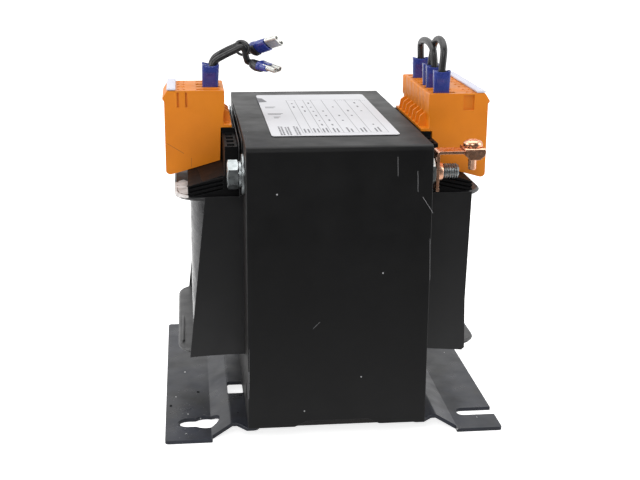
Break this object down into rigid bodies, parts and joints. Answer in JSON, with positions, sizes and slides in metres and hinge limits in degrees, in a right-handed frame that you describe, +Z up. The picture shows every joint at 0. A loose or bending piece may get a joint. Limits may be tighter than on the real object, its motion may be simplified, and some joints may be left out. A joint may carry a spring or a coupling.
{
  "type": "mains transformer",
  "caption": "Open frame mains transformer: laminated core, wound bobbin, clamping band, foot plate, orange terminal rows and sleeved leads.",
  "frame": {"origin": "middle of the underside of the foot plate, at the bottom centre of the bounding box", "axes": "+Z up, +X towards the longer terminal row, the clamping band's faces look along -Y and +Y"},
  "size_m": [0.1776, 0.1786, 0.2008],
  "materials": {
    "black_paint": "semi-gloss black paint",
    "core_steel": "varnished laminated steel",
    "black_moulding": "matt moulded plastic",
    "black_sheet": "thin stiff insulating sheet",
    "enamelled_copper": "enamelled copper wire, wound",
    "insulating_paper": "plain paper",
    "black_film": "glossy film wrap",
    "orange_moulding": "satin moulded plastic",
    "writing_strip": "matt pale lavender",
    "contact_metal": "tinned",
    "blue_sleeve": "soft vinyl",
    "black_insulation": "wire insulation",
    "zinc": "zinc plated",
    "copper_plate": "copper plated steel",
    "label_white": "matt white label"
  },
  "bodies": {
    "root": {"base_plate": "black_paint", "clamping_band": "black_paint", "core_e_stack": "core_steel", "core_i_stack": "core_steel", "bobbin": "black_moulding", "primary_winding": "enamelled_copper", "secondary_winding": "enamelled_copper", "interlayer_insulation": "insulating_paper", "outer_wrap": "black_film", "front_window_liner": "black_sheet", "rear_window_liner": "black_sheet", "left_inner_edge_sheet": "black_sheet", "left_outer_edge_sheet": "black_sheet", "right_edge_sheet": "black_sheet", "earth_bracket": "copper_plate", "earth_clamp_screw": "copper_plate", "earth_clamp_washer": "copper_plate", "rating_label": "label_white", "left_terminal_carrier": "black_moulding", "left_terminal_block": "orange_moulding", "left_marker_strip": "writing_strip", "left_contact_1": "contact_metal", "left_contact_2": "contact_metal", "left_contact_3": "contact_metal", "left_contact_4": "contact_metal", "right_terminal_carrier": "black_moulding", "right_terminal_block": "orange_moulding", "right_marker_strip": "writing_strip", "right_contact_1": "contact_metal", "right_contact_2": "contact_metal", "right_contact_3": "contact_metal", "right_contact_4": "contact_metal", "right_contact_5": "contact_metal", "right_contact_6": "contact_metal", "right_contact_7": "contact_metal", "right_contact_8": "contact_metal", "front_core_bolt": "zinc", "front_core_nut": "zinc", "front_head_washer": "zinc", "front_nut_washer": "zinc", "front_spring_washer": "zinc", "rear_core_bolt": "zinc", "rear_core_nut": "zinc", "rear_head_washer": "zinc", "rear_nut_washer": "zinc", "rear_spring_washer": "zinc", "jumper_a_wire": "black_insulation", "jumper_a_front_sleeve": "blue_sleeve", "jumper_a_rear_sleeve": "blue_sleeve", "jumper_b_wire": "black_insulation", "jumper_b_front_sleeve": "blue_sleeve", "jumper_b_rear_sleeve": "blue_sleeve", "upper_lead": "black_insulation", "upper_lead_sleeve": "blue_sleeve", "upper_free_sleeve": "blue_sleeve", "upper_free_receptacle": "contact_metal", "lower_lead": "black_insulation", "lower_lead_sleeve": "blue_sleeve", "lower_free_sleeve": "blue_sleeve", "lower_free_receptacle": "contact_metal"}
  },
  "joints": []
}
